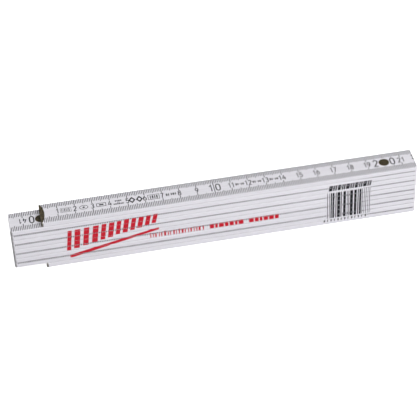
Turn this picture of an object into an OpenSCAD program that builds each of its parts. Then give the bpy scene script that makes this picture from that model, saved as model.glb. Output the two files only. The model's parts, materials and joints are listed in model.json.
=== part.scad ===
// Folding rule, two metres long, with ten blades and nine pivot joints.
// The rule is drawn folded, lying flat on its bottom blade.
// Origin: centre of the underside. +X runs along the blades, away from the zero end.
// -Y is the long side with the zero mark on the left, and +Z is up.
// Blade 1 carries the zero end and is on top. Blade 10 is at the bottom.
// Joint 1 holds blade 1 on blade 2, and so on. Odd joints are at +X, even joints at -X.

/* [Blades] */
// Width of a blade
blade_w = 16; // [15:0.5:20]
// Thickness of a blade
blade_t = 3.26; // [3.1:0.02:3.6]
// Distance between the two pivots of a blade
pivot_pitch = 200; // [100:1:240]
// Length of a blade past its pivot
overhang = 18; // [12:0.5:20]
// Rounding along the long edges
edge_r = 0.5; // [0.2:0.05:0.8]
// Rounding along the short edges at the ends
end_edge_r = 0.3; // [0.1:0.05:0.6]
// Corner radius of a blade, seen from above
corner_r = 1.6; // [1:0.1:4]
// Gap between two blades held by an odd joint
gap_odd = 0.12; // [0.1:0.01:0.4]
// Gap between two blades held by an even joint
gap_even = 0.3; // [0.1:0.01:0.4]

/* [Pivot rivets] */
// Diameter of the flat rivet heads
head_d = 6; // [5:0.1:6.4]
// Thickness of a rivet head
head_t = 0.6; // [0.4:0.05:0.7]
// Diameter of the rivet's shank
shank_d = 3; // [2.4:0.1:3.2]
// Radial clearance of the turning blade on the shank
run_clear = 0.05; // [0.03:0.01:0.08]
// Radial clearance of the blade that holds the rivet
fix_clear = 0.02; // [0.01:0.01:0.04]
// How far the heads sit below the faces of the blades
head_sink = 0.02; // [0.01:0.01:0.1]

/* [Spring washers] */
// Sheet thickness of the dished washer
washer_t = 0.18; // [0.1:0.02:0.22]
// Height of its dish
washer_dish = 0.08; // [0.02:0.02:0.1]

/* [Joint plates] */
// Sheet thickness of a joint plate
plate_t = 0.5; // [0.45:0.05:0.6]
// Diameter of its round part
plate_d = 13; // [12:0.5:14]
// Length of its tongue, from the pivot
tongue_l = 16; // [14.5:0.5:17]
// Width of its tongue
tongue_w = 7; // [5:0.5:9]
// Space between the two plates of a joint
plate_space = 0.04; // [0.02:0.01:0.06]
// Radius of the circle of detents
detent_ring_r = 4.6; // [4.4:0.1:4.8]
// Height of a detent boss above its plate
boss_h = 0.18; // [0.1:0.02:0.2]
// Depth of the track that the bosses run in
track_depth = 0.2; // [0.18:0.02:0.24]

/* [Plate pins] */
// Diameter of a plate pin
pin_d = 1.2; // [0.8:0.1:1.4]
// Depth of a pin in the wood
pin_depth = 1.3; // [0.8:0.1:1.4]

/* [End caps] */
// Thickness of the cap over the end grain
cap_web = 1; // [0.5:0.1:1.2]
// Thickness of the cap's half-round legs
cap_t = 0.4; // [0.3:0.05:0.6]
// Reach of the legs along the blade
cap_reach = 2.6; // [2:0.1:4]

/* [Hidden] */
blade_count = 10;
pivot_x = pivot_pitch / 2;
blade_end_x = pivot_x + overhang;
cut = 1;                 // how far a cutter runs past the face it opens
fit_clear = 0.01;        // clearance between pieces that are fixed together

head_r = head_d / 2;
shank_r = shank_d / 2;
head_bevel = 0.12;       // bevel round the outer face of a head
punch_depth = 0.1;       // punch mark in the middle of a head
punch_floor_r = 0.8;
punch_rim_r = 0.95;
recess_clear = 0.1;      // round a head in its recess
washer_bore_clear = 0.2; // between washer and shank
washer_inset = 0.1;      // washer's edge inside the head's edge
washer_floor_clear = 0.03;

pocket_clear = 0.1;      // round a joint plate in its pocket
tongue_chamfer = 1.5;
track_half_w = 0.9;
seat_r = 0.75;           // detent seat
seat_drop = 0.08;        // seat depth beyond the track
boss_base_r = 0.7;
boss_top_r = 0.45;
boss_root = 0.1;         // part of a boss inside its plate

pin_places = [9, 12.8];  // distances of the two plate pins from the pivot
pin_r = pin_d / 2;
pin_wood_clear = 0.02;   // round a pin in the wood
pin_end_clear = 0.02;    // beyond the buried end of a pin

cap_corner_r = 0.6;      // corner radius of a capped end, seen from above
cap_leg_inset = 0.6;     // from the blade's side to where the leg's arc meets the web
leg_half_w = blade_w / 2 - cap_leg_inset;
leg_rise = cap_reach - cap_web;
cap_leg_r = (pow(leg_half_w, 2) + pow(leg_rise, 2)) / (2 * leg_rise);

wood_color = [0.92, 0.92, 0.94];
cap_color = [0.34, 0.29, 0.20];
rivet_color = [0.30, 0.26, 0.19];
washer_color = [0.55, 0.56, 0.58];
plate_color = [0.62, 0.63, 0.65];
pin_color = [0.5, 0.5, 0.52];

function is_odd(joint) = joint % 2 == 1;
function joint_x(joint) = is_odd(joint) ? pivot_x : -pivot_x;
// Sign of the X direction from a joint towards the middle of the blades
function inward(joint) = is_odd(joint) ? -1 : 1;
// Gap between the two blades of a joint
function gap(joint) = is_odd(joint) ? gap_odd : gap_even;
// Underside and top of blade num
function bottom_z(num) = num >= blade_count ? 0 : top_z(num + 1) + gap(num);
function top_z(num) = bottom_z(num) + blade_t;
// Undersides of the upper and lower plates of a joint
function gap_mid_z(joint) = bottom_z(joint) - gap(joint) / 2;
function track_plate_z(joint) = gap_mid_z(joint) + plate_space / 2;
function boss_plate_z(joint) = gap_mid_z(joint) - plate_space / 2 - plate_t;

// The first and last blades have a free end at -X with a metal cap
function capped(num) = num == 1 || num == blade_count;
function blade_start_x(num) = capped(num) ? -pivot_x : -blade_end_x;

// Points of a rectangle with rounded corners, each made of a number of flats.
// start_r is the radius at the x0 side, end_r the radius at the x1 side.
function rounded(x0, y0, x1, y1, start_r, end_r, flats) = [
  // corner: centre x, centre y, start angle, radius
  for (corner = [[x1 - end_r, y1 - end_r, 0, end_r],
                 [x0 + start_r, y1 - start_r, 90, start_r],
                 [x0 + start_r, y0 + start_r, 180, start_r],
                 [x1 - end_r, y0 + end_r, 270, end_r]])
    for (i = [0:flats])
      let (angle = corner[2] + 90 * i / flats)
        [corner[0] + corner[3] * cos(angle), corner[1] + corner[3] * sin(angle)]
];

// A cylinder on the axis of a joint
module pivot_cylinder(joint, z, h, r) {
  translate([joint_x(joint), 0, z]) cylinder(h = h, r = r);
}

// A cylinder at each of the two plate pins of a joint
module pin_cylinders(joint, z, h, r) {
  for (distance = pin_places)
    translate([joint_x(joint) + inward(joint) * distance, 0, z])
      cylinder(h = h, r = r, $fn = 32);
}

// The children at each of the four detents of a joint
module at_detents(joint, z) {
  for (angle = [0, 90, 180, 270])
    translate([joint_x(joint) + detent_ring_r * cos(angle), detent_ring_r * sin(angle), z])
      children();
}

// The outer shape of a blade: its plan, its cross-section and its side view, cut together
module blade_outline(num) {
  start_x = blade_start_x(num);
  half_w = blade_w / 2;
  translate([0, 0, bottom_z(num)])
    intersection() {
      translate([0, 0, -cut])
        linear_extrude(blade_t + 2 * cut)
          polygon(rounded(start_x, -half_w, blade_end_x, half_w,
                          start_r = capped(num) ? cap_corner_r : corner_r,
                          end_r = corner_r, flats = 7));
      translate([start_x - cut, 0, 0])
        rotate([90, 0, 90])
          linear_extrude(blade_end_x - start_x + 2 * cut)
            polygon(rounded(-half_w, 0, half_w, blade_t,
                            start_r = edge_r, end_r = edge_r, flats = 5));
      translate([0, half_w + cut, 0])
        rotate([90, 0, 0])
          linear_extrude(blade_w + 2 * cut)
            polygon(rounded(start_x, 0, blade_end_x, blade_t,
                            start_r = end_edge_r, end_r = end_edge_r, flats = 3));
    }
}

// The space of an end cap at the free end of a blade: a web and two half-round legs
module cap_space(num, clear) {
  translate([-pivot_x - cut, -blade_w / 2 - cut, bottom_z(num) - cut])
    cube([cut + cap_web + clear, blade_w + 2 * cut, blade_t + 2 * cut]);
  for (z = [bottom_z(num) - cut, top_z(num) - cap_t - clear])
    translate([-pivot_x + cap_reach - cap_leg_r, 0, z])
      cylinder(h = cap_t + cut + clear, r = cap_leg_r + clear, $fn = 180);
}

// A joint plate's outline: a round part on the pivot and a tongue along the blade
module plate_shape(joint, z, h, clear) {
  half_w = tongue_w / 2 + clear;
  tip_x = inward(joint) * (tongue_l + clear);
  chamfer_x = inward(joint) * (tongue_l + clear - tongue_chamfer);
  translate([joint_x(joint), 0, z]) {
    cylinder(h = h, r = plate_d / 2 + clear, $fn = 96);
    linear_extrude(h)
      polygon([[0, -half_w], [chamfer_x, -half_w], [tip_x, tongue_chamfer - half_w],
               [tip_x, half_w - tongue_chamfer], [chamfer_x, half_w], [0, half_w]]);
  }
}

// Cuts in a blade for the joint to the blade below, which has the blade's own number
module lower_joint_cuts(num) {
  cut_z = bottom_z(num) - cut;
  recess_depth = head_sink + head_t + washer_t + washer_dish;
  pivot_cylinder(num, cut_z, blade_t + 2 * cut, shank_r + run_clear, $fn = 64);
  pivot_cylinder(num, top_z(num) - recess_depth - washer_floor_clear, recess_depth + cut,
                 head_r + recess_clear, $fn = 96);
  plate_shape(num, cut_z, track_plate_z(num) + plate_t + fit_clear - cut_z, pocket_clear);
  pin_cylinders(num, cut_z, cut + plate_t + pin_depth, pin_r + pin_wood_clear);
}

// Cuts in a blade for the joint to the blade above
module upper_joint_cuts(num) {
  joint = num - 1;
  cut_z = bottom_z(num) - cut;
  pivot_cylinder(joint, cut_z, blade_t + 2 * cut, shank_r + fix_clear, $fn = 64);
  pivot_cylinder(joint, cut_z, cut + head_sink + head_t + fit_clear,
                 head_r + recess_clear, $fn = 96);
  plate_shape(joint, boss_plate_z(joint) - fit_clear, plate_t + cut, pocket_clear);
  pin_cylinders(joint, top_z(num) - plate_t - pin_depth, cut + plate_t + pin_depth,
                pin_r + pin_wood_clear);
}

// One wooden blade with its rivet holes, head recesses, plate pockets and pin holes
module blade(num) {
  color(wood_color)
    difference() {
      blade_outline(num);
      if (capped(num)) cap_space(num, fit_clear);
      if (num < blade_count) lower_joint_cuts(num);
      if (num > 1) upper_joint_cuts(num);
    }
}

// The sheet-metal cap over the free end of a blade
module end_cap(num) {
  color(cap_color)
    intersection() {
      blade_outline(num);
      union() cap_space(num, 0);
    }
}
module zero_end_cap() { end_cap(1); }
module far_end_cap() { end_cap(blade_count); }

// A joint's rivet: two flat heads, a shank, and the punch marks that closed it
module pivot_rivet(joint) {
  low = bottom_z(joint + 1) + head_sink;
  high = top_z(joint) - head_sink;
  color(rivet_color)
    translate([joint_x(joint), 0, 0])
      rotate_extrude($fn = 96)
        polygon([[0, low + punch_depth], [punch_floor_r, low + punch_depth],
                 [punch_rim_r, low], [head_r - head_bevel, low],
                 [head_r, low + head_bevel], [head_r, low + head_t],
                 [shank_r, low + head_t], [shank_r, high - head_t],
                 [head_r, high - head_t], [head_r, high - head_bevel],
                 [head_r - head_bevel, high], [punch_rim_r, high],
                 [punch_floor_r, high - punch_depth], [0, high - punch_depth]]);
}

// The dished spring washer under the upper head of a joint's rivet
module spring_washer(joint) {
  inner_z = top_z(joint) - head_sink - head_t - fit_clear;
  outer_z = inner_z - washer_dish;
  inner_r = shank_r + washer_bore_clear;
  outer_r = head_r - washer_inset;
  color(washer_color)
    translate([joint_x(joint), 0, 0])
      rotate_extrude($fn = 64)
        polygon([[inner_r, inner_z - washer_t], [inner_r, inner_z],
                 [outer_r, outer_z], [outer_r, outer_z - washer_t]]);
}

// The rivet hole and pin holes through a joint plate
module plate_holes(joint, z, shank_clear) {
  pivot_cylinder(joint, z - cut, plate_t + 2 * cut, shank_r + shank_clear, $fn = 64);
  pin_cylinders(joint, z - cut, plate_t + 2 * cut, pin_r + fit_clear);
}

// A joint's upper plate, let into the upper blade, with a round track and four detent seats
module track_plate(joint) {
  z = track_plate_z(joint);
  color(plate_color)
    difference() {
      plate_shape(joint, z, plate_t, 0);
      plate_holes(joint, z, run_clear);
      translate([joint_x(joint), 0, z - cut])
        difference() {
          cylinder(h = cut + track_depth, r = detent_ring_r + track_half_w, $fn = 96);
          translate([0, 0, -cut])
            cylinder(h = 3 * cut + track_depth, r = detent_ring_r - track_half_w, $fn = 96);
        }
      at_detents(joint, z - cut)
        cylinder(h = cut + track_depth + seat_drop, r = seat_r, $fn = 32);
    }
}

// A joint's lower plate, let into the lower blade, with four detent bosses
module boss_plate(joint) {
  z = boss_plate_z(joint);
  color(plate_color)
    difference() {
      union() {
        plate_shape(joint, z, plate_t, 0);
        at_detents(joint, z + plate_t - boss_root)
          cylinder(h = boss_h + boss_root, r1 = boss_base_r, r2 = boss_top_r, $fn = 32);
      }
      plate_holes(joint, z, fix_clear);
    }
}

// The steel pins that hold the joint plates of a blade in the wood
module plate_pins(num) {
  pin_l = plate_t + pin_depth - pin_end_clear - plate_space / 2;
  color(pin_color) {
    if (num < blade_count)
      pin_cylinders(num, track_plate_z(num), pin_l, pin_r);
    if (num > 1)
      pin_cylinders(num - 1, top_z(num) - plate_t - pin_depth + pin_end_clear,
                    pin_l + gap(num - 1) / 2, pin_r);
  }
}

blade(1);  // blade_1
blade(2);  // blade_2
blade(3);  // blade_3
blade(4);  // blade_4
blade(5);  // blade_5
blade(6);  // blade_6
blade(7);  // blade_7
blade(8);  // blade_8
blade(9);  // blade_9
blade(10);  // blade_10
zero_end_cap();
far_end_cap();
pivot_rivet(1);  // pivot_rivet_1
pivot_rivet(2);  // pivot_rivet_2
pivot_rivet(3);  // pivot_rivet_3
pivot_rivet(4);  // pivot_rivet_4
pivot_rivet(5);  // pivot_rivet_5
pivot_rivet(6);  // pivot_rivet_6
pivot_rivet(7);  // pivot_rivet_7
pivot_rivet(8);  // pivot_rivet_8
pivot_rivet(9);  // pivot_rivet_9
spring_washer(1);  // spring_washer_1
spring_washer(2);  // spring_washer_2
spring_washer(3);  // spring_washer_3
spring_washer(4);  // spring_washer_4
spring_washer(5);  // spring_washer_5
spring_washer(6);  // spring_washer_6
spring_washer(7);  // spring_washer_7
spring_washer(8);  // spring_washer_8
spring_washer(9);  // spring_washer_9
track_plate(1);  // track_plate_1
track_plate(2);  // track_plate_2
track_plate(3);  // track_plate_3
track_plate(4);  // track_plate_4
track_plate(5);  // track_plate_5
track_plate(6);  // track_plate_6
track_plate(7);  // track_plate_7
track_plate(8);  // track_plate_8
track_plate(9);  // track_plate_9
boss_plate(1);  // boss_plate_1
boss_plate(2);  // boss_plate_2
boss_plate(3);  // boss_plate_3
boss_plate(4);  // boss_plate_4
boss_plate(5);  // boss_plate_5
boss_plate(6);  // boss_plate_6
boss_plate(7);  // boss_plate_7
boss_plate(8);  // boss_plate_8
boss_plate(9);  // boss_plate_9
plate_pins(1);  // plate_pins_1
plate_pins(2);  // plate_pins_2
plate_pins(3);  // plate_pins_3
plate_pins(4);  // plate_pins_4
plate_pins(5);  // plate_pins_5
plate_pins(6);  // plate_pins_6
plate_pins(7);  // plate_pins_7
plate_pins(8);  // plate_pins_8
plate_pins(9);  // plate_pins_9
plate_pins(10);  // plate_pins_10
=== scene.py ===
"""A folding rule of ten white lacquered wooden blades, folded shut.

The blades lie along x and are stacked in z, with blade 1 on top. Their narrow front
edges face -y. Sizes are in millimetres until a mesh is made; the scene is in metres.
"""
import json
import math
from itertools import cycle, repeat
from typing import NamedTuple

import bpy
import numpy as np
from mathutils import Matrix, Vector


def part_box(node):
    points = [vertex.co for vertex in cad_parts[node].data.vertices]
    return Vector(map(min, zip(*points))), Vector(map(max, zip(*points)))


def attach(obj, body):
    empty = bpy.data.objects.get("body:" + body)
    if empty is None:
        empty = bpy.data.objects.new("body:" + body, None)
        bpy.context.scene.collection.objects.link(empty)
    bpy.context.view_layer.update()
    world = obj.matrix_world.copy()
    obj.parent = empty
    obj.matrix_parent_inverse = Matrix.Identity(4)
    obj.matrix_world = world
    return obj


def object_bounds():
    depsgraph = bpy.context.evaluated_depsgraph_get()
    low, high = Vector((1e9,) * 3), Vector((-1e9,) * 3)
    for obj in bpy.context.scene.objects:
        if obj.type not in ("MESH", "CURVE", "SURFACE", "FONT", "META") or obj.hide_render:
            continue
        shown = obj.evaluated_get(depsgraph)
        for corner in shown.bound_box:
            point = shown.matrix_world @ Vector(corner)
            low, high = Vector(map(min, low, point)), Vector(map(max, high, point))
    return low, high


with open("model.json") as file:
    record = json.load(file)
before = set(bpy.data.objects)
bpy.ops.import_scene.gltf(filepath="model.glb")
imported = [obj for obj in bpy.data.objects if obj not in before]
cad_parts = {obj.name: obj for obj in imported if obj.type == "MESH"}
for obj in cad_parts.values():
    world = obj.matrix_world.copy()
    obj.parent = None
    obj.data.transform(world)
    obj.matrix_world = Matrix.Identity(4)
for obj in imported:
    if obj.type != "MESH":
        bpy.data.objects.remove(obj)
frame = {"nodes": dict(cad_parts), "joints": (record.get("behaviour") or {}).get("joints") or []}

CAD_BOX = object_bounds()
MM = 0.001
scene = bpy.context.scene

# ---------------------------------------------------------------- sizes read from the frame
BLADES = 10
END_BLADES = (1, BLADES)
BLADE_BOX = {k: tuple(np.array(corner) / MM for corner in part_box(f"blade_{k}"))
             for k in range(1, BLADES + 1)}
blade_low, blade_high = BLADE_BOX[2]
HALF_W = (blade_high[1] - blade_low[1]) / 2
HALF_T = (blade_high[2] - blade_low[2]) / 2
MID_Z = {k: (low[2] + high[2]) / 2 for k, (low, high) in BLADE_BOX.items()}

# x of each joint, by joint number
JOINT_X = {int(joint["child"].rsplit("_", 1)[1]): joint["pos_m"][0] / MM
           for joint in frame["joints"]}
PIVOT_X = max(JOINT_X.values())
LEFT = {k: -PIVOT_X if k in END_BLADES else low[0] for k, (low, _) in BLADE_BOX.items()}
RIGHT = {k: high[0] for k, (_, high) in BLADE_BOX.items()}

head_low, head_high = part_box("pivot_rivet_1")
HEAD_R = (head_high[0] - head_low[0]) / 2 / MM
plate_low, plate_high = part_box("boss_plate_1")
PLATE_R = (plate_high[1] - plate_low[1]) / 2 / MM
TONGUE = PIVOT_X - plate_low[0] / MM    # reach of the plate from its pivot

# ---------------------------------------------------------------- surfaces that carry print
EDGE_R = 0.5        # rounding of the long edges
EDGE_STEPS = 5
EDGE_CHORD = 2 * EDGE_R * math.sin(math.radians(45 / EDGE_STEPS))
FLAT = HALF_W - EDGE_R      # half the width of the flat part of a wide face
INK = 0.02          # height of the ink on the wide faces
SIDE_INK = 0.022    # height of the ink on the front edges
SINK = 0.012        # depth of the ink below the lacquer


class Path:
    """A line over a blade's cross-section.

    The rows are distance p along it, surface y and z, and outward normal y and z.
    """

    def __init__(self, rows):
        self.p, *self.columns = np.array(rows, float).T

    def at(self, p):
        return tuple(float(np.interp(p, self.p, column)) for column in self.columns)


def top_path():
    """Over the top face from front to back. p is 0 on the middle line."""
    half = []
    for i in range(EDGE_STEPS + 1):
        angle = math.radians(90 - 90 * i / EDGE_STEPS)
        ny, nz = math.cos(angle), math.sin(angle)
        half.append([FLAT + i * EDGE_CHORD, FLAT + EDGE_R * ny,
                     HALF_T - EDGE_R + EDGE_R * nz, ny, nz])
    return Path([[-p, -y, z, -ny, nz] for p, y, z, ny, nz in reversed(half)] + half)


def front_path():
    """Up the front edge. p is the height above the blade's middle."""
    rows = []
    for start, side in ((270, -1), (180, 1)):
        for i in range(EDGE_STEPS + 1):
            angle = math.radians(start - 90 * i / EDGE_STEPS)
            ny, nz = math.cos(angle), math.sin(angle)
            z = side * (HALF_T - EDGE_R) + EDGE_R * nz
            rows.append([z, -FLAT + EDGE_R * ny, z, ny, nz])
    return Path(rows)


TOP = top_path()
FRONT = front_path()


# ---------------------------------------------------------------- ink, as thin closed solids
class Solid:
    def __init__(self):
        self.verts, self.faces = [], []

    def add(self, verts, faces):
        base = len(self.verts)
        self.verts.extend(verts)
        self.faces.extend([[base + i for i in face] for face in faces])

    def place(self, name, material, blade, slot):
        """Make the object and let it ride on its blade."""
        mesh = bpy.data.meshes.new(name)
        mesh.from_pydata([Vector(v) * MM for v in self.verts], [], self.faces)
        mesh.update()
        mesh.materials.append(material)
        obj = bpy.data.objects.new(name, mesh)
        scene.collection.objects.link(obj)
        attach(obj, f"segment_{blade}")


def patch(solid, path, outline, height=INK):
    """Print a convex outline [(x, p), ...] so that it follows the rounded edges."""
    same = 1e-4         # levels closer than this are one
    least = 0.02        # least width of the patch
    ends = [p for _, p in outline]
    inner = [p for p in path.p if min(ends) + same < p < max(ends) - same]
    levels = sorted({round(p, 5) for p in ends + inner})
    verts = []
    for level in levels:
        xs = []
        for (x0, p0), (x1, p1) in zip(outline, outline[1:] + outline[:1]):
            if abs(p1 - p0) < same:
                if abs(p0 - level) < same:
                    xs += [x0, x1]
            elif min(p0, p1) - same <= level <= max(p0, p1) + same:
                xs.append(x0 + (x1 - x0) * min(1, max(0, (level - p0) / (p1 - p0))))
        left, right = min(xs), max(xs)
        if right - left < least:
            middle = (left + right) / 2
            left, right = middle - least / 2, middle + least / 2
        y, z, ny, nz = path.at(level)
        for out in (height, -SINK):
            verts += [(x, y + ny * out, z + nz * out) for x in (left, right)]
    faces = []
    for a in range(0, 4 * (len(levels) - 1), 4):
        b = a + 4
        faces += [[a, a + 1, b + 1, b], [a + 2, b + 2, b + 3, a + 3],
                  [a, b, b + 2, a + 2], [a + 1, a + 3, b + 3, b + 1]]
    e = 4 * (len(levels) - 1)
    faces += [[0, 2, 3, 1], [e, e + 1, e + 3, e + 2]]
    solid.add(verts, faces)


def bar(solid, x0, y0, x1, y1):
    patch(solid, TOP, [(x0, y0), (x1, y0), (x1, y1), (x0, y1)])


def ribbon(solid, points, width, closed=False):
    """Print a line with mitred corners along points on the flat of the top face."""
    points = np.array(points, float)
    after = np.roll(points, -1, axis=0) - points
    if not closed:
        after[-1] = after[-2]
    after /= np.linalg.norm(after, axis=1, keepdims=True)
    after = np.column_stack([-after[:, 1], after[:, 0]])    # normals on the left
    before = np.roll(after, 1, axis=0)
    if not closed:
        before[0] = after[0]
    mitre = before + after
    mitre /= np.maximum(np.linalg.norm(mitre, axis=1, keepdims=True), 1e-6)
    slant = (mitre * before).sum(axis=1, keepdims=True)
    mitre *= width / 2 / np.maximum(slant, 0.5)

    verts = []
    for left, right in zip(points + mitre, points - mitre):
        for z in (HALF_T + INK, HALF_T - SINK):
            verts += [(*right, z), (*left, z)]
    count = len(points)
    faces = []
    for i in range(count if closed else count - 1):
        a, b = 4 * i, 4 * ((i + 1) % count)
        faces += [[a, b, b + 1, a + 1], [a + 2, a + 3, b + 3, b + 2],
                  [a, a + 2, b + 2, b], [a + 1, b + 1, b + 3, a + 3]]
    if not closed:
        e = 4 * (count - 1)
        faces += [[0, 1, 3, 2], [e + 1, e, e + 2, e + 3]]
    solid.add(verts, faces)


def blocks(start, sizes, end=math.inf):
    """Yield both ends of each block in a row of (width, gap) pairs that stops by end."""
    x = start
    for width, gap in sizes:
        if x + width > end:
            return
        yield x, x + width
        x += width + gap


# ---------------------------------------------------------------- numerals
def arc(cx, cy, rx, ry, start, end, steps=12):
    angles = [math.radians(start + (end - start) * i / steps) for i in range(steps + 1)]
    return [(cx + rx * math.cos(a), cy + ry * math.sin(a)) for a in angles]


def ring(cx, cy, rx, ry, steps):
    return arc(cx, cy, rx, ry, 0, 360, steps)[:-1]


# centre lines of each numeral in a box 1 wide and 1 high: (points, closed)
NUMERALS = {
    "0": [(arc(0.5, 0.70, 0.5, 0.30, 0, 180) + arc(0.5, 0.30, 0.5, 0.30, 180, 360), True)],
    "1": [([(0.05, 0.74), (0.78, 1.0), (0.78, 0.0)], False)],
    "2": [(arc(0.5, 0.72, 0.47, 0.28, 165, -25) + [(0.03, 0.0), (1.0, 0.0)], False)],
    "3": [(arc(0.48, 0.75, 0.42, 0.25, 150, -88) + arc(0.48, 0.26, 0.50, 0.26, 80, -150),
           False)],
    "4": [([(0.52, 1.0), (0.0, 0.30), (1.0, 0.30)], False),
          ([(0.72, 0.60), (0.72, 0.0)], False)],
    "5": [([(0.92, 1.0), (0.14, 1.0), (0.06, 0.54)]
           + arc(0.48, 0.31, 0.50, 0.31, 128, -150, 14), False)],
    "6": [(ring(0.5, 0.31, 0.5, 0.31, 20), True),
          ([(0.01, 0.34), (0.05, 0.55), (0.24, 0.80), (0.70, 1.0)], False)],
    "7": [([(0.0, 1.0), (0.98, 1.0), (0.52, 0.45), (0.40, 0.0)], False)],
    "8": [(ring(0.5, 0.76, 0.41, 0.24, 18), True), (ring(0.5, 0.27, 0.5, 0.27, 20), True)],
    "9": [(ring(0.5, 0.69, 0.5, 0.31, 20), True),
          ([(0.99, 0.66), (0.95, 0.45), (0.76, 0.20), (0.30, 0.0)], False)],
}
RELATIVE_WIDTH = {"1": 0.72, "4": 1.14, "7": 0.96}
LEAST_STEP = 0.03       # points closer than this are merged


class Style(NamedTuple):
    width: float
    height: float
    gap: float
    stroke: float

    def widths(self, text):
        return [self.width * RELATIVE_WIDTH.get(c, 1.0) for c in text]

    def length(self, text):
        return sum(self.widths(text)) + (len(text) - 1) * self.gap


SMALL = Style(width=2.0, height=4.3, gap=0.5, stroke=0.52)
NARROW = SMALL._replace(width=1.45, gap=0.4)    # three figures
BIG = Style(width=3.0, height=6.0, gap=0.65, stroke=0.66)


def number(solid, text, centre_x, style, side):
    """Print a number on the middle line. side -1 turns it to read from the other end."""
    stroke = style.stroke
    start = -style.length(text) / 2
    for numeral, width in zip(text, style.widths(text)):
        for points, closed in NUMERALS[numeral]:
            line = []
            for x, y in points:
                u = start + x * (width - stroke) + stroke / 2
                v = (y - 0.5) * (style.height - stroke)
                point = (centre_x + side * u, side * v)
                if not line or math.dist(point, line[-1]) > LEAST_STEP:
                    line.append(point)
            if closed and math.dist(line[0], line[-1]) < LEAST_STEP:
                line.pop()
            ribbon(solid, line, stroke, closed)
        start += width + style.gap


# ---------------------------------------------------------------- the scale on a wide face
SPAN = 200              # millimetres of scale from one blade to the next
CORNER = 1.6            # corner radius of a blade, seen from above
TICK_W = 0.36
CM_TICK_W = TICK_W * 1.12
TICK_MM, TICK_5, TICK_CM = 3.9, 4.6, 5.5
MID_TICK = 2.9          # half length of the tick between the parts of a big number
LEAST_TICK = 0.3
END_MARGIN = 0.3        # from a blade's end to its nearest tick
CAPPED_MARGIN = 1.6     # the same at the left end of the first and last blade
CORNER_MARGIN = 0.25
TEXT_MARGIN = 0.6
PLATE_MARGIN, HEAD_MARGIN = 0.35, 0.5           # ticks to plate and rivet head
TEXT_PLATE_R, TEXT_TONGUE = PLATE_R + 3.2, TONGUE + 3.0     # no numbers within these
BIG_OFF, BIG_OFF_HEAD = 0.85, HEAD_R + 0.45     # big figures from their tick or rivet

# How far ticks run over the rounded edge, in steps of the rounding. An outer face has one
# value. A face in a gap has a least value and a share of the extra, by joint number.
WRAP_OUTER, WRAP_LEAST, WRAP_EXTRA = 4.0, 1.4, 3.6
WRAP_SHARE = {1: 0.55, 2: 0.72, 3: 0.8, 4: 0.72, 5: 0.9, 6: 0.85, 7: 1.0, 8: 0.95, 9: 0.85}
FAR_START, FAR_LENGTH = 80.0, 14.0      # the share changes over, near the right end
NEAR_START, NEAR_LENGTH = -60.0, 30.0   # the share grows to the full extra, to the left


def wrap_of(gap, x):
    """Steps a tick runs over the edge. gap is the face's joint number, 0 when outer."""
    if gap == 0:
        return WRAP_OUTER
    far = min(1.0, max(0.0, (x - FAR_START) / FAR_LENGTH))
    near = min(1.0, max(0.0, (NEAR_START - x) / NEAR_LENGTH))
    share = far if gap % 2 else 1.0 - far
    return WRAP_LEAST + WRAP_EXTRA * share * max(WRAP_SHARE[gap], near)


def side_of(blade):
    """1 where the scale runs to +x, -1 where it runs back."""
    return 1 if blade % 2 else -1


def x_at(blade, mark):
    return side_of(blade) * (mark - (blade - 1) * SPAN - PIVOT_X)


def half_chord(radius, offset):
    return math.sqrt(max(0.0, radius ** 2 - offset ** 2))


def tick(solid, blade, gap, mark, x):
    """One millimetre mark on both long edges, kept off plate, rivet head and corners."""
    left, right = LEFT[blade], RIGHT[blade]
    margin = CAPPED_MARGIN if blade in END_BLADES else END_MARGIN
    if x < left + margin or x > right - END_MARGIN:
        return
    whole_cm = mark % 10 == 0
    inner = HALF_W - (TICK_CM if whole_cm else TICK_MM if mark % 5 else TICK_5)
    if blade - 1 in JOINT_X:
        inner = max(inner, half_chord(PLATE_R + PLATE_MARGIN, x - JOINT_X[blade - 1]))
    if blade in JOINT_X and whole_cm:
        inner = max(inner, half_chord(HEAD_R + HEAD_MARGIN, x - JOINT_X[blade]))
    outer = FLAT + wrap_of(gap, x) * EDGE_CHORD
    to_end = min(x - left, right - x)
    if to_end < CORNER and not (blade in END_BLADES and x < 0):
        corner_y = HALF_W - CORNER + half_chord(CORNER, CORNER - to_end)
        outer = min(outer, corner_y - CORNER_MARGIN)
    if outer - inner < LEAST_TICK:
        return
    half = (CM_TICK_W if whole_cm else TICK_W) / 2
    bar(solid, x - half, -outer, x + half, -inner)
    bar(solid, x - half, inner, x + half, outer)


def fits(blade, x, width):
    return (x - width / 2 >= LEFT[blade] + TEXT_MARGIN
            and x + width / 2 <= RIGHT[blade] - TEXT_MARGIN)


def big_number(solid, blade, text, x):
    """A tens number, split so that its last 0 stands on the other side of the mark."""
    side = side_of(blade)
    at_head = blade in JOINT_X and abs(x - JOINT_X[blade]) < 1
    off = BIG_OFF_HEAD if at_head else BIG_OFF
    for word, way in ((text[:-1], -1), ("0", 1)):
        centre_x = x + side * way * (off + BIG.length(word) / 2)
        if fits(blade, centre_x, len(word) * BIG.width):
            number(solid, word, centre_x, BIG, side)
    if not at_head:
        bar(solid, x - CM_TICK_W / 2, -MID_TICK, x + CM_TICK_W / 2, MID_TICK)


def cm_number(solid, blade, cm, x):
    """The number of one centimetre, left out over the plate."""
    if blade - 1 in JOINT_X:
        plate_x = JOINT_X[blade - 1]
        inward = 1 if plate_x < 0 else -1
        if -TEXT_PLATE_R < (x - plate_x) * inward < TEXT_TONGUE:
            return
    text = str(cm)
    if cm % 10 == 0:
        big_number(solid, blade, text, x)
    elif fits(blade, x, len(text) * SMALL.width + (len(text) - 1) * SMALL.gap):
        number(solid, text, x, SMALL if len(text) < 3 else NARROW, side_of(blade))


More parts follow.
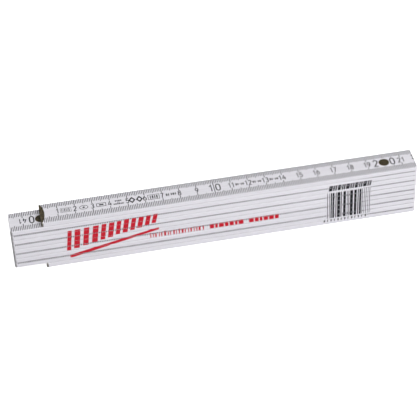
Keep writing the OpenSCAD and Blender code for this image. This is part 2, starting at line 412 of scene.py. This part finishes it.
def first_marks(solid):
    """Outlines, blocks and strokes between the first numbers, placed by scale mark."""
    def at(mark):
        return x_at(1, mark)

    def strip(start, end, y0, y1, widths, gap):
        for mark0, mark1 in blocks(start, zip(cycle(widths), repeat(gap)), end):
            bar(solid, at(mark0), y0, at(mark1), y1)

    def outline(start, end, half_height, line):
        x0, x1, y = at(start), at(end), half_height
        ribbon(solid, [(x0, -y), (x1, -y), (x1, y), (x0, y)], line, True)

    # a framed row of upright strokes
    strip(12.4, 17.4, -1.25, 1.25, (0.32, 0.22, 0.45), 0.5)
    outline(11.8, 17.8, 1.75, 0.17)
    # a flat ring round a small diamond
    ribbon(solid, ring(at(25.0), 0.0, 2.4, 1.5, 28), 0.32, True)
    patch(solid, TOP, [(at(24.1), 0.0), (at(25.0), -0.75), (at(25.9), 0.0), (at(25.0), 0.75)])
    # a small frame round a bar
    outline(32.4, 37.6, 1.3, 0.32)
    bar(solid, at(33.7), -0.5, at(36.3), 0.5)
    # three rows of small blocks
    strip(43.0, 47.2, 0.75, 1.75, (0.75, 0.5, 0.95, 0.6), 0.28)
    strip(44.2, 46.0, -0.35, 0.25, (0.6, 0.5), 0.3)
    strip(42.0, 48.2, -1.85, -0.85, (0.6, 0.8, 0.5, 0.95), 0.28)
    # two bold diamonds
    for mark in (52.6, 56.9):
        x = at(mark)
        diamond = [(x - 1.55, 0.0), (x, -2.05), (x + 1.55, 0.0), (x, 2.05)]
        ribbon(solid, diamond, 0.78, True)
    # a frame with a row of bars
    outline(61.9, 68.3, 2.0, 0.26)
    strip(63.0, 67.6, -1.3, 1.3, (0.5, 0.75), 0.62)
    # short rows of blocks between the numbers
    strip(72.2, 74.4, -1.0, 1.0, (0.8, 0.5), 0.45)
    strip(75.0, 78.2, -0.8, 1.0, (0.6, 0.9, 0.5), 0.45)
    for mark in (112.3, 122.3, 132.3):
        strip(mark + 0.3, mark + 2.7, -0.95, 0.95, (0.75, 0.5), 0.42)
        strip(mark + 3.3, mark + 5.5, -0.95, 0.7, (0.5, 0.85), 0.42)
    # two dots at the right end
    for y in (2.3, -0.4):
        bar(solid, RIGHT[1] - 1.35, y - 0.55, RIGHT[1] - 0.4, y + 0.55)


def scale_print(blade, gap):
    """The whole scale on the top of a blade, in the blade's own frame."""
    solid = Solid()
    start, side = (blade - 1) * SPAN, side_of(blade)
    first, last = sorted(round(start + (PIVOT_X + side * x))
                         for x in (LEFT[blade], RIGHT[blade]))
    first, last = max(0, first), min(BLADES * SPAN, last)
    for mark in range(first, last + 1):
        tick(solid, blade, gap, mark, x_at(blade, mark))
    for cm in range(max(1, math.ceil(first / 10)), last // 10 + 1):
        cm_number(solid, blade, cm, x_at(blade, cm * 10))
    if blade == 1:
        first_marks(solid)
    return solid


# ---------------------------------------------------------------- materials
class Graph:
    """Short names for building node graphs."""

    def __init__(self, tree):
        self.tree = tree

    def node(self, kind):
        return self.tree.nodes.new("ShaderNode" + kind)

    def put(self, socket, value):
        if isinstance(value, bpy.types.NodeSocket):
            self.tree.links.new(value, socket)
        else:
            socket.default_value = value

    def shade(self, values):
        for name, value in values.items():
            self.put(self.bsdf.inputs[name], value)

    def math(self, operation, *values):
        node = self.node("Math")
        node.operation = operation
        for socket, value in zip(node.inputs, values):
            self.put(socket, value)
        return node.outputs[0]

    def product(self, a, b):
        return self.math("MULTIPLY", a, b)

    def size(self, value):
        return self.math("ABSOLUTE", value)

    def layer(self, base, over, mask, strength=None):
        """Lay a colour over base where the mask is high."""
        node = self.node("Mix")
        node.data_type = "RGBA"
        self.put(node.inputs[0], mask if strength is None else self.product(mask, strength))
        for socket, colour in ((node.inputs[6], base), (node.inputs[7], over)):
            self.put(socket, (*colour, 1.0) if isinstance(colour, tuple) else colour)
        return node.outputs[2]

    def ramp(self, value, span, to=(0.0, 1.0), smooth=True):
        node = self.node("MapRange")
        node.interpolation_type = "SMOOTHSTEP" if smooth else "LINEAR"
        keys = ("Value", "From Min", "From Max", "To Min", "To Max")
        for key, item in zip(keys, (value, *span, *to)):
            self.put(node.inputs[key], item)
        return node.outputs[0]

    def split(self, vector):
        node = self.node("SeparateXYZ")
        self.put(node.inputs[0], vector)
        return node.outputs

    def coords(self, stretch, shift=None):
        node = self.node("Mapping")
        node.inputs["Scale"].default_value = stretch
        self.put(node.inputs["Vector"], self.node("TexCoord").outputs["Object"])
        if shift is not None:
            self.put(node.inputs["Location"], shift)
        return node.outputs[0]

    def noise(self, detail, rough, scale=1.0, stretch=(1, 1, 1), distortion=0.0, shift=None):
        node = self.node("TexNoise")
        self.put(node.inputs["Vector"], self.coords(stretch, shift))
        node.inputs["Scale"].default_value = scale
        node.inputs["Detail"].default_value = detail
        node.inputs["Roughness"].default_value = rough
        node.inputs["Distortion"].default_value = distortion
        return node.outputs["Fac"]

    def heights(self, main, fine):
        return self.math("ADD", self.product(main, 0.6), self.product(fine, 0.4))

    def bump(self, height, strength, distance):
        node = self.node("Bump")
        node.inputs["Strength"].default_value = strength
        node.inputs["Distance"].default_value = distance
        self.put(node.inputs["Height"], height)
        return node.outputs[0]


def material(name):
    mat = bpy.data.materials.new(name)
    mat.use_nodes = True
    mat.node_tree.nodes.clear()
    g = Graph(mat.node_tree)
    g.surface = g.node("OutputMaterial").inputs[0]
    g.bsdf = g.node("BsdfPrincipled")
    g.put(g.surface, g.bsdf.outputs[0])
    return mat, g


def scaled(colour, factor):
    return tuple(min(1, c * factor) for c in colour)


# painted shade in a groove between blades: nowhere, left of the right joint, or right of it
UNSHADED, BEFORE_JOINT, PAST_JOINT = 0, 1, 2
GROOVE_SHADE = {BEFORE_JOINT: 0.08, PAST_JOINT: 0.45}


def groove_dirt(g, base, tex, shift, upper, lower, short):
    """Painted shade in the rounded long edges, where two blades meet, darkening them as if in
    the shade of the gap.
    """
    along, across, up = g.split(tex.outputs["Generated"])
    shade_breakup = g.noise(stretch=(420, 40, 40), detail=4.0, rough=0.6, shift=shift)
    off_middle = g.size(g.math("SUBTRACT", across, 0.5))
    edge = g.product(g.ramp(off_middle, span=(0.455, 0.475)),
                     g.ramp(shade_breakup, span=(0.25, 0.65), to=(0.55, 1.0)))
    turn = 0.885 if short else 0.895    # the right joint, as a share of the length
    past = g.ramp(along, span=(turn - 0.05, turn + 0.03))
    before = g.math("SUBTRACT", 1.0, past)
    for where, heights in ((upper, (0.900, 0.965)), (lower, (0.100, 0.035))):
        if where != UNSHADED:
            amount = g.product(g.ramp(up, span=heights),
                               before if where == BEFORE_JOINT else past)
            # painted shade: a near-black colour laid over the rounded edge beside the gap
            base = g.layer(base, over=(0.030, 0.029, 0.034),
                           mask=g.product(amount, edge), strength=GROOVE_SHADE[where])
    return base


def lacquered_wood(upper, lower, short):
    """White lacquer. upper and lower place the painted shade in the grooves over and under."""
    mat, g = material(f"white_lacquer_on_wood_{upper}{lower}{int(short)}")
    # each blade takes another part of every texture
    chance = g.node("ObjectInfo").outputs["Random"]
    combine = g.node("CombineXYZ")
    for socket, factor in zip(combine.inputs, (3.7, 9.1, 5.3)):
        g.put(socket, g.product(chance, factor))
    shift = combine.outputs[0]

    grain = g.noise(stretch=(14, 950, 950), detail=5.0, rough=0.6, distortion=0.35,
                    shift=shift)
    wide = g.noise(stretch=(5, 170, 170), detail=3.0, rough=0.5, distortion=0.6, shift=shift)
    pores = g.noise(stretch=(160, 3200, 3200), detail=2.0, rough=0.5, shift=shift)
    peel = g.noise(scale=1500.0, detail=2.0, rough=0.5, shift=shift)
    base = g.layer((0.725, 0.710, 0.758), over=(0.780, 0.765, 0.815),
                   mask=g.ramp(grain, span=(0.38, 0.66)))
    base = g.layer(base, over=(0.80, 0.787, 0.835),
                   mask=g.ramp(wide, span=(0.45, 0.7)), strength=0.35)
    base = g.layer(base, over=(0.60, 0.585, 0.60),
                   mask=g.ramp(pores, span=(0.66, 0.74)), strength=0.16)
    base = g.layer(base, over=(0.70, 0.695, 0.72),
                   mask=g.ramp(chance, span=(0.0, 1.0), to=(0.0, 0.10), smooth=False))

    # the cut ends drink more lacquer: a little greyer, with the pores of the end grain. The mask
    # also takes in the rounded end corners, where the grey is partly painted shade.
    tex = g.node("TexCoord")
    facing_x = g.split(tex.outputs["Normal"])[0]
    cut_end = g.ramp(g.size(facing_x), span=(0.45, 0.90))
    cells = g.node("TexVoronoi")
    g.put(cells.inputs["Vector"], g.coords((0, 3600, 3600), shift))
    cells.inputs["Scale"].default_value = 1.0
    end_grain_and_shade = g.layer((0.40, 0.39, 0.38), over=(0.62, 0.61, 0.62),
                        mask=g.ramp(cells.outputs["Distance"], span=(0.12, 0.45)))
    base = g.layer(base, over=end_grain_and_shade, mask=cut_end, strength=0.75)

    # painted shade: the rounded corners of the left ends, which face -x, are greyed as if in
    # shade
    left_end_shade = g.ramp(g.product(facing_x, -1.0), span=(0.08, 0.58))
    shade_smear = g.noise(stretch=(500, 500, 260), detail=3.0, rough=0.6, shift=shift)
    base = g.layer(base, over=(0.265, 0.258, 0.260), mask=left_end_shade,
                   strength=g.ramp(shade_smear, span=(0.3, 0.7), to=(0.78, 0.98)))
    base = groove_dirt(g, base, tex, shift, upper, lower, short)
    g.shade({
        "Base Color": base,
        "Roughness": g.ramp(grain, span=(0.3, 0.7), to=(0.46, 0.36), smooth=False),
        "IOR": 1.48,
        "Coat Weight": 0.15,
        "Coat Roughness": 0.25,
        "Normal": g.bump(g.heights(grain, peel), strength=0.35, distance=0.00006),
    })
    return mat


def turned_rings(g, base, patina, light):
    """Fine rings round z, and a painted highlight: a brighter rim. Returns the colour and the
    tool marks.
    """
    centred = g.node("VectorMath")
    centred.operation = "SUBTRACT"
    centred.inputs[1].default_value = (0.5, 0.5, 0.5)
    g.put(centred.inputs[0], g.node("TexCoord").outputs["Generated"])
    x, y, _ = g.split(centred.outputs[0])
    radius = g.math("SQRT", g.math("ADD", g.product(x, x), g.product(y, y)))
    wobble = g.math("ADD", radius, g.product(patina, 0.02))
    wave = g.math("SINE", g.product(wobble, 150.0))
    marks = g.ramp(wave, span=(-1.0, 1.0), smooth=False)
    # painted highlight: the rim of the head is made brighter
    base = g.layer(base, over=scaled(light, 1.9),
                   mask=g.ramp(radius, span=(0.43, 0.5)), strength=0.55)
    return base, marks


def worn_sheet(g, base, patina, light):
    """Lines along y, and a painted highlight: the faces toward ±y lighter, brightest where the
    cap bends over the long edges.
    """
    marks = g.noise(stretch=(2600, 160, 2600), detail=4.0, rough=0.6)
    base = g.layer(base, over=scaled(light, 1.6),
                   mask=g.ramp(marks, span=(0.5, 0.75)), strength=0.35)
    _, facing_y, facing_z = g.split(g.node("TexCoord").outputs["Normal"])
    # painted highlight: the faces toward ±y and the bends over the long edges are lightened
    highlight_bend = g.product(g.size(facing_y), g.size(facing_z))
    base = g.layer(base, over=(0.50, 0.485, 0.46),
                   mask=g.ramp(g.size(facing_y), span=(0.6, 0.95)),
                   strength=g.ramp(patina, span=(0.35, 0.65), to=(0.22, 0.5)))
    base = g.layer(base, over=(0.62, 0.60, 0.57), mask=g.ramp(highlight_bend, span=(0.12, 0.36)),
                   strength=g.ramp(patina, span=(0.35, 0.6), to=(0.55, 0.9)))
    return base, marks


def bronzed(name, dark, light, patina_scale, finish):
    mat, g = material(name)
    patina = g.noise(scale=patina_scale, detail=6.0, rough=0.62, distortion=0.4)
    specks = g.noise(scale=2600.0, detail=3.0, rough=0.6)
    base = g.layer(dark, over=light, mask=g.ramp(patina, span=(0.35, 0.68)))
    base = g.layer(base, over=scaled(dark, 0.45),
                   mask=g.ramp(specks, span=(0.58, 0.7)), strength=0.5)
    base, marks = finish(g, base, patina, light)
    g.shade({
        "Base Color": base,
        "Metallic": 0.85,
        "Roughness": g.ramp(patina, span=(0.3, 0.7), to=(0.52, 0.36), smooth=False),
        "Normal": g.bump(g.heights(marks, specks), strength=0.35, distance=0.00004),
    })
    return mat


def spring_steel(name, stretch, grained):
    mat, g = material(name)
    scratch = g.noise(stretch=stretch, detail=4.0, rough=0.6)
    cloud = g.noise(scale=260.0, detail=4.0, rough=0.5)
    base = g.layer((0.40, 0.405, 0.42), over=(0.62, 0.625, 0.64),
                   mask=g.ramp(scratch, span=(0.35, 0.7)))
    base = g.layer(base, over=(0.33, 0.31, 0.29),
                   mask=g.ramp(cloud, span=(0.5, 0.75)), strength=0.35)
    g.shade({
        "Base Color": base,
        "Metallic": 0.95,
        "Roughness": g.ramp(scratch, span=(0.3, 0.7), to=(0.40, 0.26), smooth=False),
    })
    if grained:
        g.shade({"Normal": g.bump(scratch, strength=0.3, distance=0.00003)})
    return mat


def printing_ink(name, thin, full, rough):
    """Slightly uneven cover, thinner in spots."""
    mat, g = material(name)
    cover = g.noise(scale=1700.0, detail=4.0, rough=0.6)
    broad = g.noise(scale=160.0, detail=3.0, rough=0.5)
    base = g.layer(thin, over=full, mask=g.ramp(cover, span=(0.30, 0.55)))
    base = g.layer(base, over=thin, mask=g.ramp(broad, span=(0.45, 0.75)), strength=0.25)
    g.shade({
        "Base Color": base,
        "Roughness": g.ramp(cover, span=(0.3, 0.7), to=(rough + 0.08, rough - 0.08),
                            smooth=False),
        "Specular IOR Level": 0.14,
    })
    return mat


RIVET = bronzed("bronzed_rivet_steel", dark=(0.044, 0.036, 0.020),
                light=(0.100, 0.079, 0.043), patina_scale=520.0, finish=turned_rings)
CAP = bronzed("bronzed_cap_sheet", dark=(0.038, 0.031, 0.018),
              light=(0.165, 0.136, 0.080), patina_scale=1000.0, finish=worn_sheet)
PLATE = spring_steel("rolled_spring_steel", stretch=(120, 2800, 2800), grained=True)
PIN = spring_steel("drawn_pin_steel", stretch=(2800, 2800, 140), grained=False)
BLACK = printing_ink("black_scale_ink", thin=(0.036, 0.034, 0.042),
                     full=(0.006, 0.006, 0.009), rough=0.56)
RED = printing_ink("red_print_ink", thin=(0.60, 0.026, 0.044),
                   full=(0.53, 0.010, 0.024), rough=0.42)
woods = {}


def wood_for(blade):
    """The lacquer of a blade. Joint blade - 1 is in the gap over it, joint blade under it."""
    # where the painted shade in the grooves goes
    def dirt(joint):
        if joint in (0, BLADES):
            return UNSHADED
        return PAST_JOINT if joint % 2 else BEFORE_JOINT

    key = (dirt(blade - 1), dirt(blade), blade in END_BLADES)
    if key not in woods:
        woods[key] = lacquered_wood(*key)
    return woods[key]


def material_for(name):
    if name.startswith("blade"):
        return wood_for(int(name.rsplit("_", 1)[1]))
    if name.startswith("pivot_rivet"):
        return RIVET
    if name.endswith("end_cap"):
        return CAP
    return PIN if name.startswith("plate_pins") else PLATE


for name, obj in frame["nodes"].items():
    mat = material_for(name)
    obj.data.materials.clear()
    obj.data.materials.append(mat)

# ---------------------------------------------------------------- scales on the wide faces
for part in range(1, BLADES + 1):
    solid = scale_print(part, part - 1)
    solid.verts = [(x, y, MID_Z[part] + z) for x, y, z in solid.verts]
    solid.place(f"scale_print_top_{part}", BLACK, part, "black_print")
    # the undersides carry the same scales, from the bottom blade up
    blade = BLADES + 1 - part
    solid = scale_print(part, blade % BLADES)
    solid.verts = [(x, -y, MID_Z[blade] - z) for x, y, z in solid.verts]
    solid.place(f"scale_print_under_{blade}", BLACK, blade, "black_print")

# ---------------------------------------------------------------- print on the front edges
STACK_TOP = MID_Z[1] + HALF_T
SEAM = 0.06     # bare strip beside each gap between blades

# leaning red stripes: width, gap
STRIPES = ((2.4, 1.7), (3.3, 2.0), (3.1, 2.1), (3.3, 1.7), (2.7, 1.6), (3.0, 1.5),
           (2.5, 1.6), (2.9, 1.5), (2.6, 1.5), (2.9, 1.5), (2.6, 1.4), (2.5, 0.0))
STRIPES_START, STRIPES_LENGTH = 12.4, 54.0
# red bar under the stripes: x from the left pivot, depth below the top of the stack
UNDERLINE = ((14.0, 29.3), (15.4, 29.3), (66.0, 17.9), (66.0, 16.5), (64.6, 16.5),
             (14.0, 27.2))
# rows of red strokes: start, end, depth of their feet, heights, widths, gaps
RED_ROWS = (
    (60.6, 92.6, 23.5, (3.7, 2.7, 2.7, 3.4, 2.7), (0.62, 0.5, 0.85, 0.5, 0.62, 1.1),
     (1.0, 0.75, 1.35, 0.8, 1.1)),
    (95.4, 116.2, 23.4, (3.4,), (2.5, 1.5, 2.9, 2.1), (0.62, 0.7, 0.6)),
    (118.4, 136.0, 23.3, (3.3,), (2.8, 2.3, 1.6, 2.6), (0.62, 0.6, 0.7)),
)
# black blocks, by place in the row: both ends of each part
BLOCK_PARTS = (((-0.2, 1.85),), ((-0.2, 0.65), (1.05, 1.9)), ((-0.05, 1.7),),
               ((-0.2, 0.6), (0.95, 1.85)))
# upright black bars: width, gap
BARS = ((0.35, 0.85), (0.3, 0.55), (0.75, 0.35), (1.05, 0.75), (0.5, 0.5), (1.75, 0.35),
        (0.55, 0.95), (1.5, 0.75), (0.3, 0.5), (0.35, 0.6), (1.7, 0.75), (1.45, 0.6),
        (0.6, 0.45), (1.1, 0.45), (0.35, 0.9), (0.25, 0.75), (0.3, 0.9), (0.22, 0.8),
        (0.3, 0.0))
SMALL_BLOCKS = (0.8, 0.45, 0.62, 0.4)   # widths


def slab(x0, x1, deep, shallow, lean=0.0):
    """A block between two depths below the top of the stack."""
    z0, z1 = STACK_TOP - deep, STACK_TOP - shallow
    return [(x0, z0), (x1, z0), (x1 + lean, z1), (x0 + lean, z1)]


def red_shapes():
    shapes = []
    for x0, x1 in blocks(-PIVOT_X + STRIPES_START, STRIPES):
        # the stripes climb and shorten to the right
        along = (x0 + PIVOT_X - STRIPES_START) / STRIPES_LENGTH
        shapes.append(slab(x0, x1, 23.6 - 12.0 * along, 9.0 - 3.4 * along, lean=1.6))
    shapes.append([(-PIVOT_X + x, STACK_TOP - depth) for x, depth in UNDERLINE])
    for start, end, depth, heights, widths, gaps in RED_ROWS:
        row = blocks(-PIVOT_X + start, zip(cycle(widths), cycle(gaps)), -PIVOT_X + end)
        for (x0, x1), height in zip(row, cycle(heights)):
            shapes.append(slab(x0, x1, depth, depth - height))
    return shapes


def black_shapes():
    shapes = []
    for i in range(10):
        x = PIVOT_X - 34.4 + i * 2.53
        for x0, x1 in BLOCK_PARTS[i % 4]:
            shapes.append(slab(x + x0, x + x1, 8.9, 5.1, lean=0.6))
    for x0, x1 in blocks(PIVOT_X - 35.3, BARS):
        shapes.append(slab(x0, x1, 29.7, 10.6))
    for i in range(13):
        x = PIVOT_X - 37.3 + i * 2.05
        shapes.append(slab(x, x + SMALL_BLOCKS[i % 4], 32.2, 30.5, lean=0.25))
    return shapes


def clip(outline, low, high):
    """Cut a convex outline to a band of p."""
    for sign, limit in ((1, low), (-1, -high)):
        kept = []
        for (x0, p0), (x1, p1) in zip(outline, outline[1:] + outline[:1]):
            a, b = sign * p0 - limit, sign * p1 - limit
            if a >= 0:
                kept.append((x0, p0))
            if a > 0 > b or a < 0 < b:
                t = a / (a - b)
                kept.append((x0 + (x1 - x0) * t, p0 + (p1 - p0) * t))
        outline = kept
        if len(outline) < 3:
            return []
    return outline


SIDE_PRINT = (("red", RED, red_shapes()), ("black", BLACK, black_shapes()))
for blade in range(1, BLADES + 1):
    middle = MID_Z[blade]
    for colour, mat, shapes in SIDE_PRINT:
        solid = Solid()
        for shape in shapes:
            local = [(x, z - middle) for x, z in shape]
            piece = clip(local, -HALF_T + SEAM, HALF_T - SEAM)
            if piece:
                patch(solid, FRONT, piece, SIDE_INK)
        if solid.verts:
            solid.verts = [(x, y, z + middle) for x, y, z in solid.verts]
            solid.place(f"side_print_{colour}_{blade}", mat, blade, f"{colour}_print")

# ---------------------------------------------------------------- floor, in metres
FLOOR_HALF = 6.0
FLOOR_GAP = 0.00008
CONTACT = 0.0003    # rays shorter than this pass through the floor


def floor_material():
    mat, g = material("pale_floor")
    tint = g.noise(scale=3.0, detail=2.0, rough=0.5)
    seen = g.node("LightPath").outputs["Is Camera Ray"]
    white = g.layer((0.90, 0.90, 0.90), over=(0.93, 0.93, 0.93), mask=tint)
    g.shade({
        "Base Color": g.layer((0.60, 0.60, 0.61), over=white, mask=seen),
        "Roughness": 0.95,
        "Specular IOR Level": 0.0,
        "Emission Color": (1, 1, 1, 1),
        "Emission Strength": g.math("MULTIPLY_ADD", seen, 0.85, 0.0),
    })
    # seen from below the floor is clear, and light still reaches the face the rule lies on
    path = g.node("LightPath").outputs
    near = g.product(g.math("LESS_THAN", path["Ray Length"], CONTACT),
                     g.math("SUBTRACT", 1.0, path["Is Camera Ray"]))
    below = g.node("NewGeometry").outputs["Backfacing"]
    mix = g.node("MixShader")
    g.put(mix.inputs[0], g.math("MAXIMUM", below, near))
    g.put(mix.inputs[1], g.bsdf.outputs[0])
    g.put(mix.inputs[2], g.node("BsdfTransparent").outputs[0])
    g.put(g.surface, mix.outputs[0])
    return mat


def build_floor():
    mesh = bpy.data.meshes.new("floor")
    s, z = FLOOR_HALF, CAD_BOX[0].z - FLOOR_GAP
    mesh.from_pydata([(-s, -s, z), (s, -s, z), (s, s, z), (-s, s, z)], [], [(0, 1, 2, 3)])
    obj = bpy.data.objects.new("floor", mesh)
    scene.collection.objects.link(obj)
    mesh.materials.append(floor_material())


build_floor()

# ---------------------------------------------------------------- lights, world and camera
CENTRE = (CAD_BOX[0] + CAD_BOX[1]) / 2

# name, place from the centre of the rule, size in metres, power in watts
LIGHTS = (
    ("key", (0.30, -0.72, 0.62), (0.8, 0.6), 7.3),
    ("fill", (-1.1, -0.5, 1.3), (1.0, 1.0), 1.2),
    ("top", (-0.10, 0.35, 1.5), (1.6, 1.2), 3.2),
    ("back", (-0.45, 1.30, 0.16), (1.4, 0.24), 5.0),
)
for name, offset, size, power in LIGHTS:
    light = bpy.data.lights.new(name, "AREA")
    light.shape = "RECTANGLE"
    light.size, light.size_y = size
    light.energy = power
    obj = bpy.data.objects.new(name, light)
    obj.location = CENTRE + Vector(offset)
    obj.rotation_euler = (CENTRE - obj.location).to_track_quat("-Z", "Y").to_euler()
    scene.collection.objects.link(obj)


def build_world():
    """A studio that is darker on the left, with a white backdrop for the camera."""
    world = bpy.data.worlds.new("studio")
    scene.world = world
    world.use_nodes = True
    g = Graph(world.node_tree)
    background = world.node_tree.nodes["Background"]
    background.inputs[0].default_value = (1, 1, 1, 1)
    direction = g.split(g.node("TexCoord").outputs["Generated"])
    slope, level = 0.20, 0.42
    glow = g.math("MULTIPLY_ADD", direction[0], slope, level)
    seen = g.node("LightPath").outputs["Is Camera Ray"]
    backdrop = g.product(seen, g.math("SUBTRACT", 1.0, glow))
    g.put(background.inputs[1], g.math("ADD", glow, backdrop))


def build_camera():
    """The camera stands in front of the rule and above it, a little to the left."""
    camera = bpy.data.cameras.new("camera")
    camera.sensor_width = 36.0
    camera.lens = 144.499
    camera.clip_start = 0.05
    obj = bpy.data.objects.new("camera", camera)
    scene.collection.objects.link(obj)
    right = Vector((0.981582, -0.188259, -0.032458))
    down = Vector((-0.148696, -0.646255, -0.748494))
    ahead = Vector((0.119934, 0.739536, -0.662346))
    turn = Matrix((right, -down, -ahead)).transposed()
    place = CENTRE + Vector((-0.11942, -0.71896, 0.64470))
    obj.matrix_world = Matrix.Translation(place) @ turn.to_4x4()
    scene.camera = obj


build_world()
build_camera()
scene.view_settings.view_transform = "Standard"
scene.view_settings.look = "None"
